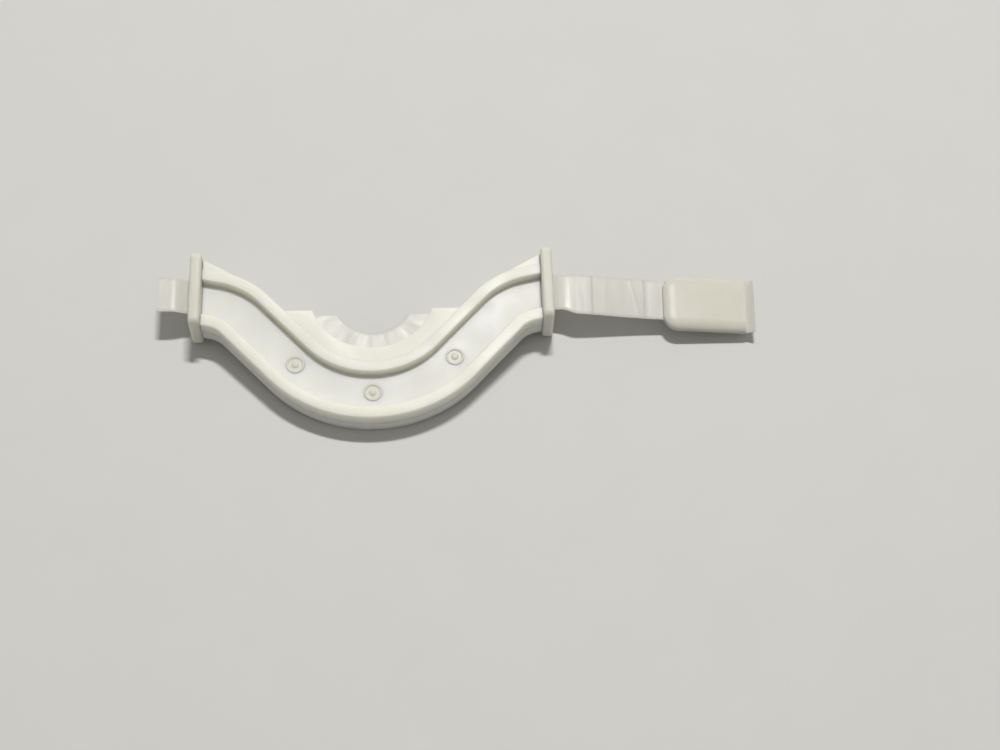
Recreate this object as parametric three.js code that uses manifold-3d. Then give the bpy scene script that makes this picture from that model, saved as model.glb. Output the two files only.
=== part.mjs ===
// Saddle strap clip, in millimetres, +Z up.
// Two mirrored channelled shells clamp a thin film core between them. Three stakes pin the stack,
// and an end plate caps each end. The film leaves both plates: as a short tail on the left, and on
// the right as a strap that folds at three lines and ends in a padded pull tab.
// The design frame has its origin on the axis of the half-round seat, on the surface that the clip
// stands on. +X runs from the tail to the pull tab, and -Y is the way the bow dips. The last lines
// move the origin to the middle of the underside of the whole part.
import * as THREE from "three";
import { mergeVertices } from "three/addons/utils/BufferGeometryUtils.js";
import Module from "manifold-3d";

const wasm = await Module();
wasm.setup();

// ---- driving dimensions ----
const degree = Math.PI / 180;
const clearance = 0.05; // between clamped faces
const midHeight = 4.0; // height of the film's middle plane
const filmThickness = 0.3;

const lip = { width: 0.5, gap: 0.03 }; // each shell's outer lips reach down past the film's edge
const filmMargin = 0.6; // from the shells' outline to the edge of the film core

const bow = {
  seatToChannel: 14.2, // seat axis to the channel's far wall, where the bow's offset is 0
  slopeAngle: 47 * degree,
  slopeLength: 11.2,
  shoulderRadius: 12.5,
  endAngle: 12 * degree,
  endX: 27.2, // where the shells meet the end plates
  farWall: 2.0, // wall widths, across the bow
  channel: 5.9,
  nearWall: 2.1,
  webTop: 4.9,
  flangeTop: 6.1,
  wallTop: 6.4,
  arcSteps: 8, // half the steps of each arc
};
const seat = { upperRadius: 10.0, filmRadius: 6.25, chordY: -3.1 };
const gusset = { startX: 21.6, startY: 3.2, bendX: 24.4, bendY: 5.0, endY: 6.2 };
const tenon = { length: 1.0, lowY: -4.5, highY: 4.3 };
const plate = { length: 12.9, height: 8.0, thickness: 1.8, centreY: 0.72, corner: 1.0, bevel: 0.4 };
const slot = { centreY: 0.55, width: 7.4, height: 1.2 };
const stake = {
  shaftRadius: 0.75,
  holeRadius: 0.8,
  headRadius: 1.32,
  headHeight: 0.2,
};
const stakePlaces = { left: -45.3 * degree, centre: 0, right: 49.3 * degree }; // about the seat axis
const neck = { lowY: -2.6, highY: 3.7, endX: 28.6 };
const tail = { centreY: 0.92, width: 6.1, start: 0.35, length: 5.2, rise: 1.0, riseEnd: 3.2 };
const strap = {
  rootY: 0.05,
  yaw: -2.2 * degree,
  width: 7.1,
  neckCut: 0.8, // the near edge is this much narrower at the root
  neckLength: 1.2,
  flareEnd: 4.3,
  rootFold: 0.2, // distances along the strap from the plate's outer face
  middleFold: 12.6,
  tabFold: 17.4,
  foldGap: 0.13, // from a fold line to the film on each side of it
  end: 33.0,
};
const pad = {
  start: 18.0,
  length: 13.6,
  width: 9.5,
  centreY: -0.54,
  corner: 2.5,
  edge: 2.0, // width of the soft edge all around its top
  flank: 0.15, // height of the straight side below that edge
  upper: 0.95,
  lower: 0.75,
};
const lipRise = 0.75; // how far the strap's last edge curls up

// ---- materials ----
const material = (name, color, roughness, opacity = 1) =>
  new THREE.MeshStandardMaterial({
    name,
    color,
    roughness,
    metalness: 0,
    opacity,
    transparent: opacity < 1,
  });
const ivory = material("ivory_shell", 0xe9e6da, 0.42);
const plateWhite = material("plate_white", 0xe2e0d6, 0.46);
const clearFilm = material("clear_film", 0xe4e3dc, 0.3, 0.75);
const padWhite = material("pad_white", 0xdad7c9, 0.38);

// ---- solids ----
function solidOf(geometry) {
  const bare = geometry.index ? geometry.toNonIndexed() : geometry.clone();
  bare.deleteAttribute("normal");
  bare.deleteAttribute("uv");
  const merged = mergeVertices(bare, 1e-4);
  const mesh = new wasm.Mesh({
    numProp: 3,
    vertProperties: merged.attributes.position.array,
    triVerts: new Uint32Array(merged.index.array),
  });
  return new wasm.Manifold(mesh);
}

function geometryOf(solid) {
  const mesh = solid.getMesh();
  const geometry = new THREE.BufferGeometry();
  geometry.setAttribute("position", new THREE.BufferAttribute(mesh.vertProperties, 3));
  geometry.setIndex(new THREE.BufferAttribute(mesh.triVerts, 1));
  geometry.computeVertexNormals();
  return geometry;
}

function prism(shape, low, high, curveSegments = 20) {
  const geometry = new THREE.ExtrudeGeometry(shape, {
    depth: high - low,
    bevelEnabled: false,
    curveSegments,
  });
  return solidOf(geometry.translate(0, 0, low));
}

function block(lowX, highX, lowY, highY, lowZ, highZ) {
  const geometry = new THREE.BoxGeometry(highX - lowX, highY - lowY, highZ - lowZ);
  geometry.translate((lowX + highX) / 2, (lowY + highY) / 2, (lowZ + highZ) / 2);
  return solidOf(geometry);
}

function post(x, y, radius, low, high) {
  const geometry = new THREE.CylinderGeometry(radius, radius, high - low, 20);
  return solidOf(geometry.rotateX(Math.PI / 2).translate(x, y, (low + high) / 2));
}

function meshOf(name, solid, look) {
  const mesh = new THREE.Mesh(solid.isBufferGeometry ? solid : geometryOf(solid), look);
  mesh.name = name;
  return mesh;
}

// ---- plan of the bow ----
// Every line of the bow runs beside the channel's far wall, at an offset that grows towards -Y. It
// has a valley arc around the seat, a straight slope on each side, a shoulder arc and a short
// straight end.
const up = Math.PI / 2;
const down = 1.5 * Math.PI;
const slopeAlong = new THREE.Vector2(Math.cos(bow.slopeAngle), Math.sin(bow.slopeAngle));
const slopeAcross = new THREE.Vector2(Math.sin(bow.slopeAngle), -Math.cos(bow.slopeAngle));
const shoulder = new THREE.Vector2()
  .addScaledVector(slopeAcross, bow.seatToChannel)
  .addScaledVector(slopeAlong, bow.slopeLength)
  .addScaledVector(slopeAcross, bow.shoulderRadius);

function endY(offset, endX) {
  const radius = bow.shoulderRadius - offset;
  const bendX = shoulder.x - radius * Math.sin(bow.endAngle);
  const bendY = shoulder.y + radius * Math.cos(bow.endAngle);
  return bendY + (endX - bendX) * Math.tan(bow.endAngle);
}

function bowLine(offset, endX) {
  const { slopeAngle, endAngle, seatToChannel, shoulderRadius } = bow;
  const radius = shoulderRadius - offset;
  const arcs = new THREE.Path();
  arcs.absarc(-shoulder.x, shoulder.y, radius, up - endAngle, up - slopeAngle, true);
  arcs.absarc(0, 0, seatToChannel + offset, down - slopeAngle, down + slopeAngle, false);
  arcs.absarc(shoulder.x, shoulder.y, radius, up + slopeAngle, up + endAngle, true);
  const y = endY(offset, endX);
  return [new THREE.Vector2(-endX, y), ...arcs.getPoints(bow.arcSteps), new THREE.Vector2(endX, y)];
}

function bowBand(farOffset, nearOffset, endX = bow.endX) {
  return new THREE.Shape([...bowLine(farOffset, endX), ...bowLine(nearOffset, endX).reverse()]);
}

// Where a line of the bow crosses the seat's chord, on the right.
function chordX(offset) {
  const { slopeAngle, seatToChannel } = bow;
  const radius = seatToChannel + offset;
  const slopeFoot = new THREE.Vector2(radius * Math.sin(slopeAngle), -radius * Math.cos(slopeAngle));
  return slopeFoot.x + (seat.chordY - slopeFoot.y) / Math.tan(slopeAngle);
}

// The ground between the bow's far wall and the chord, with a round bite around the seat axis.
function seatShape(biteRadius, offset) {
  const { slopeAngle, seatToChannel } = bow;
  const radius = seatToChannel + offset;
  const wallX = chordX(offset);
  const biteAngle = Math.acos(-seat.chordY / biteRadius);
  const shape = new THREE.Shape();
  shape.absarc(0, 0, radius, down - slopeAngle, down + slopeAngle, false);
  shape.lineTo(wallX, seat.chordY);
  shape.absarc(0, 0, biteRadius, down + biteAngle, down - biteAngle, true);
  shape.lineTo(-wallX, seat.chordY);
  return shape;
}

function gussetShape(side) {
  const shape = new THREE.Shape();
  const rootY = endY(-bow.farWall / 2, bow.endX);
  shape.moveTo(side * gusset.startX, gusset.startY);
  shape.lineTo(side * bow.endX, rootY);
  shape.lineTo(side * bow.endX, gusset.endY);
  shape.quadraticCurveTo(side * gusset.bendX, gusset.bendY, side * gusset.startX, gusset.startY);
  return shape;
}

const stakeRadius = bow.seatToChannel + bow.channel / 2;
const stakeXY = (angle) => [stakeRadius * Math.sin(angle), -stakeRadius * Math.cos(angle)];

// ---- shells ----
function shellSolid() {
  const low = midHeight + filmThickness / 2 + clearance;
  const halfWall = bow.farWall / 2;
  const nearEdge = bow.channel + bow.nearWall;
  const seatEdgeX = chordX(-halfWall);
  let shell = prism(bowBand(-bow.farWall, nearEdge), low, bow.wallTop)
    .subtract(prism(bowBand(0, bow.channel, bow.endX + 1), bow.webTop, bow.wallTop + 1))
    .add(prism(seatShape(seat.upperRadius, -halfWall), low, bow.flangeTop));
  const lipLow = midHeight + lip.gap;
  const farLips = prism(bowBand(-bow.farWall, lip.width - bow.farWall), lipLow, low)
    .subtract(block(-seatEdgeX, seatEdgeX, -bow.seatToChannel, bow.seatToChannel, lipLow - 1, low + 1));
  shell = shell.add(prism(bowBand(nearEdge - lip.width, nearEdge), lipLow, low)).add(farLips);
  for (const side of [-1, 1]) {
    const tipX = side * (bow.endX + tenon.length);
    const rootX = side * (bow.endX - 1);
    shell = shell
      .add(prism(gussetShape(side), low, bow.flangeTop))
      .add(block(Math.min(tipX, rootX), Math.max(tipX, rootX), tenon.lowY, tenon.highY, low, bow.webTop));
  }
  for (const angle of Object.values(stakePlaces)) {
    shell = shell.subtract(post(...stakeXY(angle), stake.holeRadius, low - 1, bow.wallTop));
  }
  return shell;
}

function shells() {
  const upper = shellSolid();
  const lower = upper.mirror([0, 0, 1]).translate([0, 0, 2 * midHeight]);
  return [meshOf("upper_shell", upper, ivory), meshOf("lower_shell", lower, ivory)];
}

// ---- film core ----
function filmCore() {
  const low = midHeight - filmThickness / 2;
  const high = midHeight + filmThickness / 2;
  const nearEdge = bow.channel + bow.nearWall - filmMargin;
  let core = prism(bowBand(filmMargin - bow.farWall, nearEdge, bow.endX - 0.2), low, high)
    .add(prism(seatShape(seat.filmRadius, filmMargin - bow.farWall), low, high))
    .add(block(-neck.endX, 1 - bow.endX, neck.lowY, neck.highY, low, high))
    .add(block(bow.endX - 1, neck.endX, neck.lowY, neck.highY, low, high));
  for (const angle of Object.values(stakePlaces)) {
    core = core.subtract(post(...stakeXY(angle), stake.holeRadius, low - 1, high + 1));
  }
  return meshOf("film_core", core, clearFilm);
}

// ---- end plates ----
function roundedRectangle(width, height, radius) {
  const x = width / 2;
  const y = height / 2;
  const shape = new THREE.Shape();
  shape.moveTo(-x + radius, -y);
  shape.absarc(x - radius, -y + radius, radius, -up, 0, false);
  shape.absarc(x - radius, y - radius, radius, 0, up, false);
  shape.absarc(-x + radius, y - radius, radius, up, 2 * up, false);
  shape.absarc(-x + radius, -y + radius, radius, 2 * up, 3 * up, false);
  return shape;
}

function endPlate(name, side) {
  const { bevel, thickness, length, height, corner, centreY } = plate;
  const outline = roundedRectangle(length - 2 * bevel, height - 2 * bevel, corner - bevel);
  const geometry = new THREE.ExtrudeGeometry(outline, {
    depth: thickness - 2 * bevel,
    bevelThickness: bevel,
    bevelSize: bevel,
    bevelSegments: 2,
    curveSegments: 4,
  });
  const axes = [new THREE.Vector3(0, 1, 0), new THREE.Vector3(0, 0, 1), new THREE.Vector3(1, 0, 0)];
  geometry.applyMatrix4(new THREE.Matrix4().makeBasis(...axes));
  const middleX = side * (bow.endX + clearance + thickness / 2);
  geometry.translate(middleX - thickness / 2 + bevel, centreY, height / 2);
  const pocketFloor = side * (bow.endX + tenon.length + 2 * clearance);
  const pocketMouth = side * (bow.endX - 1);
  const pocketHalf = bow.webTop - midHeight + clearance;
  const pocket = block(
    Math.min(pocketFloor, pocketMouth),
    Math.max(pocketFloor, pocketMouth),
    tenon.lowY - clearance,
    tenon.highY + clearance,
    midHeight - pocketHalf,
    midHeight + pocketHalf,
  );
  const opening = block(
    middleX - thickness,
    middleX + thickness,
    slot.centreY - slot.width / 2,
    slot.centreY + slot.width / 2,
    midHeight - slot.height / 2,
    midHeight + slot.height / 2,
  );
  return meshOf(name, solidOf(geometry).subtract(pocket).subtract(opening), plateWhite);
}

// ---- stakes ----
// One stake, with a ringed head at both ends. grip is half the thickness that it holds.
function stakeGeometry(grip) {
  const { shaftRadius, headRadius, headHeight } = stake;
  const under = grip + 0.02;
  const top = under + headHeight;
  const groove = under + headHeight * 0.35;
  const half = [
    [shaftRadius, under],
    [headRadius, under],
    [headRadius, under + headHeight * 0.5],
    [headRadius * 0.87, top],
    [headRadius * 0.66, top],
    [headRadius * 0.55, groove],
    [headRadius * 0.38, groove],
    [headRadius * 0.28, top - headHeight * 0.15],
    [0, top - headHeight * 0.15],
  ].map(([r, y]) => new THREE.Vector2(r, y));
  const mirrored = half.map((p) => new THREE.Vector2(p.x, -p.y)).reverse();
  return new THREE.LatheGeometry([...mirrored, ...half], 20).rotateX(Math.PI / 2);
}

function stakes() {
  const grip = bow.webTop - midHeight;
  return Object.entries(stakePlaces).map(([place, angle]) => {
    const mesh = meshOf(`stake_${place}`, geometryOf(solidOf(stakeGeometry(grip))), ivory);
    mesh.position.set(...stakeXY(angle), midHeight);
    return mesh;
  });
}

// ---- films that leave the plates ----
// A strip of film that follows a curve in the XZ plane between two x values, extruded across Y.
function filmStrip(curve, fromX, toX, width, steps) {
  const upper = [];
  const lower = [];
  for (let i = 0; i <= steps; i++) {
    const x = fromX + ((toX - fromX) * i) / steps;
    const slope = (curve(x + 0.01) - curve(x - 0.01)) / 0.02;
    const normal = new THREE.Vector2(-slope, 1).normalize().multiplyScalar(filmThickness / 2);
    upper.push(new THREE.Vector2(x + normal.x, curve(x) + normal.y));
    lower.push(new THREE.Vector2(x - normal.x, curve(x) - normal.y));
  }
  const shape = new THREE.Shape([...lower, ...upper.reverse()]);
  const geometry = new THREE.ExtrudeGeometry(shape, { depth: width, bevelEnabled: false });
  const axes = [new THREE.Vector3(1, 0, 0), new THREE.Vector3(0, 0, 1), new THREE.Vector3(0, -1, 0)];
  geometry.applyMatrix4(new THREE.Matrix4().makeBasis(...axes)).translate(0, width / 2, 0);
  return solidOf(geometry);
}

const plateFace = bow.endX + clearance + plate.thickness;

// The tail leaves its slot level, rises and levels out again.
function tailFilm() {
  const curve = (x) => tail.rise * THREE.MathUtils.smoothstep(-x, 0, tail.riseEnd);
  const strip = filmStrip(curve, -tail.length, -tail.start, tail.width, 8);
  const mesh = meshOf("tail_film", strip, clearFilm);
  mesh.position.set(-plateFace, tail.centreY, midHeight);
  return mesh;
}

// Height of the strap's film over its root: a soft wave that droops towards the tab, then a straight
// slope through the tab and a last edge that curls up.
const tabSlope = Math.tan(-4.3 * degree);
const wave = new THREE.CubicBezierCurve(
  new THREE.Vector2(0, 0),
  new THREE.Vector2(4, 1.3),
  new THREE.Vector2(8, -0.4),
  new THREE.Vector2(strap.tabFold, -1.15),
);

function strapHeight(x) {
  const lipStart = pad.start + pad.length;
  if (x >= strap.tabFold) {
    const lip = Math.max(0, (x - lipStart) / (strap.end - lipStart));
    return wave.v3.y + tabSlope * (x - strap.tabFold) + lipRise * lip ** 1.5;
  }
  let low = 0;
  let high = 1;
  for (let i = 0; i < 40; i++) {
    const middle = (low + high) / 2;
    if (wave.getPoint(middle).x < x) low = middle;
    else high = middle;
  }
  return wave.getPoint(low).y;
}

function strapOutline() {
  const edge = strap.width / 2;
  const neckEdge = -edge + strap.neckCut;
  const flareMiddle = (strap.neckLength + strap.flareEnd) / 2;
  const shape = new THREE.Shape();
  shape.moveTo(0, edge);
  shape.lineTo(0, neckEdge);
  shape.lineTo(strap.neckLength, neckEdge);
  shape.bezierCurveTo(flareMiddle, neckEdge, flareMiddle, -edge, strap.flareEnd, -edge);
  shape.lineTo(pad.start, -edge);
  const padNear = pad.centreY - pad.width / 2;
  const padFar = pad.centreY + pad.width / 2;
  const flare = [0.4, 0.5, 1.2].map((share) => pad.start + pad.corner * share);
  shape.bezierCurveTo(flare[0], -edge, flare[1], padNear, flare[2], padNear);
  shape.lineTo(strap.end + 1, padNear);
  shape.lineTo(strap.end + 1, padFar);
  shape.lineTo(flare[2], padFar);
  shape.bezierCurveTo(flare[1], padFar, flare[0], edge, pad.start, edge);
  return shape;
}

// One half of the pull tab's pad, moulded on the film: a pillow with broad soft edges, cut off
// square before the film's last edge. The film slopes, so the pad does too.
function padHalf(name, side, height) {
  const inner = roundedRectangle(pad.length - pad.edge, pad.width - 2 * pad.edge, pad.corner - pad.edge);
  const geometry = new THREE.ExtrudeGeometry(inner, {
    depth: 2 * pad.flank,
    bevelThickness: height - pad.flank,
    bevelSize: pad.edge,
    bevelSegments: 5,
    curveSegments: 5,
  });
  geometry.translate(pad.edge / 2, 0, -pad.flank);
  const low = filmThickness / 2 + clearance;
  const half = solidOf(geometry)
    .intersect(block(-pad.length, pad.length / 2, -pad.width, pad.width, 0, height + 1))
    .translate(0, 0, low);
  const mesh = meshOf(name, side > 0 ? half : half.mirror([0, 0, 1]), padWhite);
  const middleX = pad.start + pad.length / 2;
  mesh.position.set(middleX, pad.centreY, strapHeight(middleX));
  mesh.rotation.y = -Math.atan(tabSlope);
  return mesh;
}

function strapAssembly() {
  const group = new THREE.Group();
  const outline = prism(strapOutline(), -6, 6, 12);
  const { rootFold, middleFold, tabFold, foldGap, end } = strap;
  const uncut = 2 * pad.width; // wider than the outline that trims it
  const span = (from, to, steps) => filmStrip(strapHeight, from, to, uncut, steps).intersect(outline);
  group.add(
    meshOf("strap_root_span", span(rootFold + foldGap, middleFold - foldGap, 16), clearFilm),
    meshOf("strap_end_span", span(middleFold + foldGap, tabFold - foldGap, 8), clearFilm),
    meshOf("tab_film", span(tabFold + foldGap, end, 16), clearFilm),
    padHalf("tab_upper_pad", 1, pad.upper),
    padHalf("tab_lower_pad", -1, pad.lower),
  );
  group.position.set(plateFace, strap.rootY, midHeight);
  group.rotation.z = strap.yaw;
  return group;
}

// ---- assembly ----
const clip = new THREE.Group();
clip.add(
  ...shells(),
  filmCore(),
  endPlate("left_end_plate", -1),
  endPlate("right_end_plate", 1),
  ...stakes(),
  tailFilm(),
  strapAssembly(),
);
const box = new THREE.Box3().setFromObject(clip, true);
const centre = box.getCenter(new THREE.Vector3());
clip.position.set(-centre.x, -centre.y, -box.min.z);

const part = new THREE.Group();
part.add(clip);
export default part;
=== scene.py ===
"""The looks of the strap saddle clip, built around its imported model.

The clip is a bow of two moulded shells around a film core, with a plate on each end. The film comes
out of the left plate as a short tail, and out of the right one as a strap with a padded pull tab.
Sizes are in millimetres about the axis of the half-round seat, and Layout turns them into the
model's own frame, in metres.
"""

import logging
import math
from collections.abc import Callable, Sequence
from dataclasses import dataclass, field
from enum import Enum

import bmesh
import bpy
from mathutils import Matrix, Vector, noise


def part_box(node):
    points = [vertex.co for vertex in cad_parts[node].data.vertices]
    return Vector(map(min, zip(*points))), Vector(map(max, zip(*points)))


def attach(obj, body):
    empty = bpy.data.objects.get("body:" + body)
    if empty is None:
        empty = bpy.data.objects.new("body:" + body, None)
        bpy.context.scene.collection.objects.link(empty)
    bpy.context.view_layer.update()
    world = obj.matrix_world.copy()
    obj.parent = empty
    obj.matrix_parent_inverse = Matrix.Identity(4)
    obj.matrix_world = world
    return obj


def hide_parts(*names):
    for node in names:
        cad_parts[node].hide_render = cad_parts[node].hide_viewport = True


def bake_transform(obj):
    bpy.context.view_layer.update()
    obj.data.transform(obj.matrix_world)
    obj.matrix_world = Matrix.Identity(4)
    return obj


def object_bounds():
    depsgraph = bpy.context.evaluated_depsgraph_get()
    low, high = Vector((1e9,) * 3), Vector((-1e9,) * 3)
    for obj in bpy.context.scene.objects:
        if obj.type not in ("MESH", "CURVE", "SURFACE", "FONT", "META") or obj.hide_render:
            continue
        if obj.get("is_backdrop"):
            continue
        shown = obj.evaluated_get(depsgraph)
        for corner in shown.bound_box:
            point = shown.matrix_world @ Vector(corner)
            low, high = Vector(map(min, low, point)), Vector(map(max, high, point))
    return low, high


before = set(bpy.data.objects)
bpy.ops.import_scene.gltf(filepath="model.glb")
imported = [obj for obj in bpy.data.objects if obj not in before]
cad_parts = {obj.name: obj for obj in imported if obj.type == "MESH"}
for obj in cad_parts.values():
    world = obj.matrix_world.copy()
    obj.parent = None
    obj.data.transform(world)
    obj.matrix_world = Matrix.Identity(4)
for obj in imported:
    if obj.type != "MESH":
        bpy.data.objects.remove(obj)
CAD_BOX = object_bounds()

MM = 0.001
PLATE_CENTRE_Y = 0.72  # mm from the seat's axis to the middle of both end plates
LAMP_COLOUR = "FFFDFA"
log = logging.getLogger("strap_saddle_clip")

Point = tuple[float, float]
Ring = list[Vector]


class Body(Enum):
    """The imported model's moving bodies."""

    SADDLE = "saddle"
    TAIL = "tail"
    STRAP_INNER = "strap_inner"
    STRAP_OUTER = "strap_outer"
    PULL_TAB = "pull_tab"


class Slot(Enum):
    """The record's material slots."""

    SHELL = "ivory_shell"
    PLATE = "plate_white"
    FILM = "clear_film"
    PAD = "pad_white"


class Face(Enum):
    """Which face of the clip a shell or a pad half is on."""

    UPPER = 1
    LOWER = -1


class Side(Enum):
    """Which end of the clip a plate is on."""

    LEFT = -1
    RIGHT = 1


# ---- helpers ----


def linear(hex_colour: str) -> tuple[float, float, float, float]:
    """Turns an sRGB hex colour into Blender's linear one.

    Args:
        hex_colour: Six hex digits, such as "E9E6DA".

    Returns:
        Linear red, green and blue, and an alpha of 1.
    """
    channels = [int(hex_colour[i : i + 2], 16) / 255 for i in (0, 2, 4)]
    red, green, blue = (c / 12.92 if c <= 0.04045 else ((c + 0.055) / 1.055) ** 2.4 for c in channels)
    return (red, green, blue, 1.0)


def smoothstep(value: float) -> float:
    """Eases a value from 0 to 1.

    Args:
        value: The value, which is clamped to 0 and 1 first.

    Returns:
        The eased value.
    """
    t = min(1.0, max(0.0, value))
    return t * t * (3 - 2 * t)


def rounded(corners: Sequence[tuple[float, float, float]], steps: int = 5) -> list[Point]:
    """Rounds the corners of a closed outline.

    Args:
        corners: Each corner's two coordinates and its radius.
        steps: How many steps each round corner has.

    Returns:
        The outline's points, in the same order.
    """
    points: list[Point] = []
    count = len(corners)
    for i, (x, y, radius) in enumerate(corners):
        corner = Vector((x, y, 0))
        before = (Vector((*corners[i - 1][:2], 0)) - corner).normalized()
        after = (Vector((*corners[(i + 1) % count][:2], 0)) - corner).normalized()
        half = before.angle(after) / 2
        cut = radius / math.tan(half)
        centre = corner + (before + after).normalized() * radius / math.sin(half)
        start = (corner + before * cut - centre).normalized()
        end = (corner + after * cut - centre).normalized()
        for step in range(steps + 1):
            point = centre + start.slerp(end, step / steps) * radius
            points.append((point.x, point.y))
    return points


def rectangle(width: float, height: float, radius: float, steps: int = 5) -> list[Point]:
    """Outlines a rectangle with round corners about the origin.

    Args:
        width: Its size along the first axis.
        height: Its size along the second axis.
        radius: The corners' radius.
        steps: How many steps each round corner has.

    Returns:
        The outline's points, anticlockwise.
    """
    x, y = width / 2, height / 2
    return rounded([(x, -y, radius), (x, y, radius), (-x, y, radius), (-x, -y, radius)], steps)


@dataclass(frozen=True)
class Layout:
    """Where the seat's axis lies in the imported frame.

    Attributes:
        origin: The seat axis on the ground, in metres.
    """

    origin: Vector

    @classmethod
    def from_frame(cls) -> "Layout":
        """Finds the seat axis from the two end plates, which stand a little way past it."""
        left_low, left_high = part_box("left_end_plate")
        right_low, right_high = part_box("right_end_plate")
        middle = (left_low + left_high + right_low + right_high) / 4
        return cls(Vector((middle.x, middle.y - PLATE_CENTRE_Y * MM, 0)))

    def place(self, x: float, y: float, z: float) -> Vector:
        """Turns a place in millimetres about the seat axis into the frame's metres."""
        return self.origin + Vector((x, y, z)) * MM


@dataclass
class MeshDraft:
    """The vertices and faces of one piece while it is built.

    Attributes:
        vertices: The places of the vertices, in metres.
        faces: The vertex numbers of each face.
        flat: The strip coordinates of each vertex, in millimetres, for a piece that is a strip.
    """

    vertices: list[Vector] = field(default_factory=list)
    faces: list[tuple[int, ...]] = field(default_factory=list)
    flat: list[Point] = field(default_factory=list)

    def ring(self, points: Ring) -> list[int]:
        """Adds a row of vertices.

        Args:
            points: Their places.

        Returns:
            Their numbers.
        """
        first = len(self.vertices)
        self.vertices.extend(points)
        return list(range(first, len(self.vertices)))

    def bridge(self, lower: Sequence[int], upper: Sequence[int], closed: bool = True) -> None:
        """Joins two rows of equal length with quads.

        Args:
            lower: The first row's vertex numbers.
            upper: The second row's vertex numbers.
            closed: Whether the rows' ends are joined too.
        """
        count = len(lower)
        for i in range(count if closed else count - 1):
            j = (i + 1) % count
            self.faces.append((lower[i], lower[j], upper[j], upper[i]))

    def loft(self, rings: Sequence[Ring], capped: bool = True) -> list[list[int]]:
        """Joins closed rings into a tube.

        Args:
            rings: The rings' points, from first to last.
            capped: Whether the first and last rings are closed with a face.

        Returns:
            The vertex numbers of each ring.
        """
        rows = [self.ring(points) for points in rings]
        for lower, upper in zip(rows, rows[1:]):
            self.bridge(lower, upper)
        if capped:
            self.faces.append(tuple(reversed(rows[0])))
            self.faces.append(tuple(rows[-1]))
        return rows

    def build(self, name: str, material: bpy.types.Material, sharp_angle: float = 35) -> bpy.types.Object:
        """Makes the object, with faces pointing out and smooth shading.

        Args:
            name: The object's name.
            material: Its material.
            sharp_angle: Edges that turn by more than this many degrees stay crisp.

        Returns:
            The new object.
        """
        mesh = bpy.data.meshes.new(name)
        mesh.from_pydata(self.vertices, [], self.faces)
        mesh.materials.append(material)
        if self.flat:
            layer = mesh.uv_layers.new(name="strip")
            for loop in mesh.loops:
                layer.data[loop.index].uv = self.flat[loop.vertex_index]
        piece = bpy.data.objects.new(name, mesh)
        bpy.context.scene.collection.objects.link(piece)
        face_outwards(piece)
        mesh.shade_smooth()
        mesh.set_sharp_from_angle(angle=math.radians(sharp_angle))
        return piece


def face_outwards(piece: bpy.types.Object) -> None:
    """Turns a mesh's faces outwards.

    Args:
        piece: The object whose mesh is turned.
    """
    edit = bmesh.new()
    edit.from_mesh(piece.data)
    bmesh.ops.recalc_face_normals(edit, faces=edit.faces)
    edit.to_mesh(piece.data)
    edit.free()


def unite(piece: bpy.types.Object, others: Sequence[bpy.types.Object], sharp_angle: float = 35) -> None:
    """Fuses other closed meshes into one piece and removes them.

    Args:
        piece: The piece that stays.
        others: The pieces that are fused into it.
        sharp_angle: Edges that turn by more than this many degrees stay crisp.
    """
    for other in others:
        modifier = piece.modifiers.new("unite", "BOOLEAN")
        modifier.operation = "UNION"
        modifier.solver = "EXACT"
        modifier.object = other
    evaluated = piece.evaluated_get(bpy.context.evaluated_depsgraph_get())
    mesh = bpy.data.meshes.new_from_object(evaluated)
    piece.modifiers.clear()
    piece.data = mesh
    mesh.name = piece.name
    mesh.set_sharp_from_angle(angle=math.radians(sharp_angle))
    for other in others:
        bpy.data.objects.remove(other)


def add_node(tree: bpy.types.NodeTree, kind: str, inputs: dict | None = None, **settings) -> bpy.types.Node:
    """Adds a node to a material.

    Args:
        tree: The material's node tree.
        kind: The node's type.
        inputs: Values for its inputs, or the output sockets that feed them.
        **settings: The node's own settings.

    Returns:
        The new node.
    """
    node = tree.nodes.new(kind)
    for name, value in settings.items():
        setattr(node, name, value)
    for name, value in (inputs or {}).items():
        if isinstance(value, bpy.types.NodeSocket):
            tree.links.new(value, node.inputs[name])
        else:
            node.inputs[name].default_value = value
    return node


def empty_material(name: str) -> tuple[bpy.types.Material, bpy.types.NodeTree]:
    """Makes a material with no nodes.

    Args:
        name: The material's name.

    Returns:
        The material and its node tree.
    """
    material = bpy.data.materials.new(name)
    material.use_nodes = True
    material.node_tree.nodes.clear()
    return material, material.node_tree


# ---- finishes ----


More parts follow.
